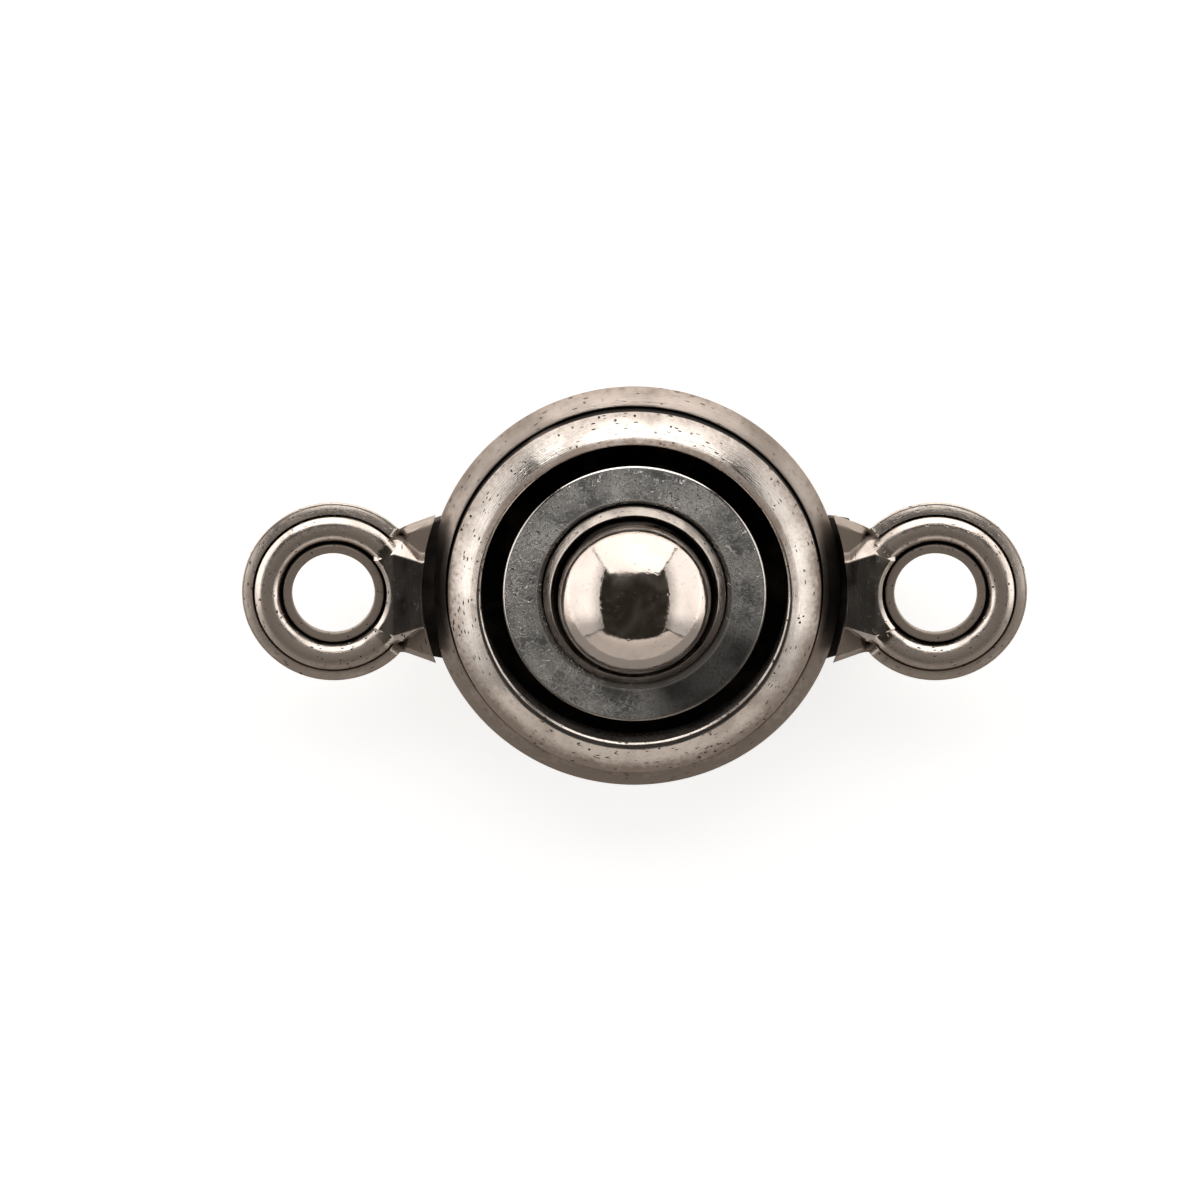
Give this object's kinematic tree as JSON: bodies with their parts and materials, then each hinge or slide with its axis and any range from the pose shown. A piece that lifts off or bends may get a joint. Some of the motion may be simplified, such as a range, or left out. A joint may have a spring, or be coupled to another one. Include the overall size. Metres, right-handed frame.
{
  "type": "ball and socket clasp",
  "caption": "Fastened ball and socket clasp of antiqued metal: a round domed socket half with a loop, snapped over the polished ball of the other half, which has its own loop.",
  "frame": {"origin": "middle of the back plate's flat underside, on the ball's axis", "axes": "+X from the middle to the ball half's loop, +Y up in the picture, +Z out of the clasp's face"},
  "size_m": [0.02, 0.0106, 0.0047],
  "materials": {
    "body_metal": "antiqued cast pewter, polished on the edges and dark in the corners",
    "ring_metal": "polished antiqued pewter with fine pits",
    "disc_metal": "dark etched pewter",
    "ball_metal": "mirror polished"
  },
  "bodies": {
    "ball_half": {"ball_plate": "body_metal", "ball_stud": "ball_metal"},
    "socket_half": {"socket_shell": "body_metal", "front_ring": "ring_metal", "socket_disc": "disc_metal", "spring_collar": "ring_metal"}
  },
  "joints": [
    {"name": "ball_swivel", "type": "hinge", "parent": "ball_half", "child": "socket_half", "pos_m": [0, 0, 0.00271], "axis": [0, 0, 1], "range_deg": [-135, 135]}
  ]
}
